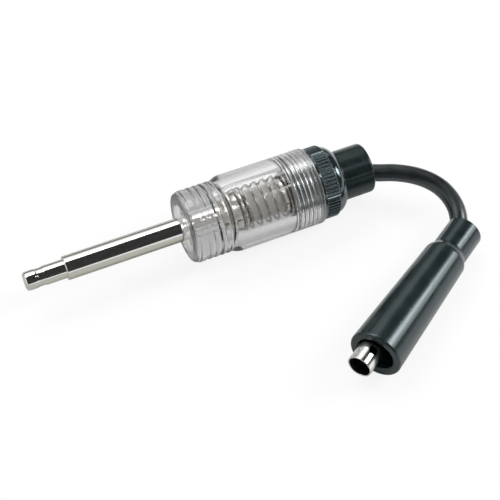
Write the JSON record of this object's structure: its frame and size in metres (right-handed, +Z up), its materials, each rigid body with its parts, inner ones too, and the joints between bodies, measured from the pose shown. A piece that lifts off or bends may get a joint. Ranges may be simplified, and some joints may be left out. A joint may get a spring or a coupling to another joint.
{
  "type": "spark plug tester",
  "caption": "In-line ignition spark tester: stepped probe rod, clear ringed housing with lamp and coil spring, knurled screw cap, short lead and a loose rubber boot over a plug socket.",
  "frame": {"origin": "middle of the tester's length, under its axis, on the surface that it lies on", "axes": "+X along the tester from probe tip to gland, +Z up, -Y towards the boot"},
  "size_m": [0.1447, 0.0868, 0.026],
  "materials": {
    "chrome_plate": "bright nickel-chrome plate over steel, drawn lengthwise",
    "clear_plastic": "clear moulded plastic, polished, slightly cool",
    "nickel_plate": "nickel plate, satin",
    "brass": "turned brass",
    "lamp_glass": "smoked frosted lamp glass",
    "electrode_steel": "turned steel",
    "spring_wire": "drawn spring wire, bright",
    "gland_rubber": "black rubber, semi-gloss, mould line",
    "black_plastic": "black moulded plastic, satin",
    "seal_rubber": "black nitrile",
    "lead_rubber": "black lead insulation, satin",
    "copper_core": "stranded copper",
    "boot_rubber": "black rubber, satin with long soft highlights"
  },
  "bodies": {
    "tester": {"probe_rod": "chrome_plate", "clear_housing": "clear_plastic", "rod_washer": "nickel_plate", "rod_nut": "nickel_plate", "contact_cup": "nickel_plate", "lamp_front_cap": "nickel_plate", "lamp_glass": "lamp_glass", "lamp_back_cap": "nickel_plate", "front_electrode": "electrode_steel", "back_electrode": "electrode_steel", "coil_spring": "spring_wire", "contact_disc": "brass", "contact_screw": "brass", "gland": "gland_rubber", "thrust_washer": "nickel_plate", "lead_jacket": "lead_rubber", "lead_core": "copper_core", "socket": "chrome_plate", "crimp_ferrule": "nickel_plate"},
    "cap_carrier": {"sealing_ring": "seal_rubber"},
    "screw_cap": {"screw_cap": "black_plastic"},
    "boot": {"boot": "boot_rubber"}
  },
  "joints": [
    {"name": "cap_travel", "type": "slide", "parent": "tester", "child": "cap_carrier", "axis": [1, 0, 0], "range_m": [0, 0.0091]},
    {"name": "cap_turn", "type": "hinge", "parent": "cap_carrier", "child": "screw_cap", "pos_m": [0.0446, 0, 0.013], "axis": [1, 0, 0], "range_deg": [0, 2160]},
    {"name": "boot_slide", "type": "slide", "parent": "tester", "child": "boot", "axis": [-0.8343, -0.5501, 0.0358], "range_m": [0, 0.0075]}
  ],
  "couplings": [
    {"joint": "cap_travel", "follows": "cap_turn", "m_per_rad": 0.00023873}
  ]
}
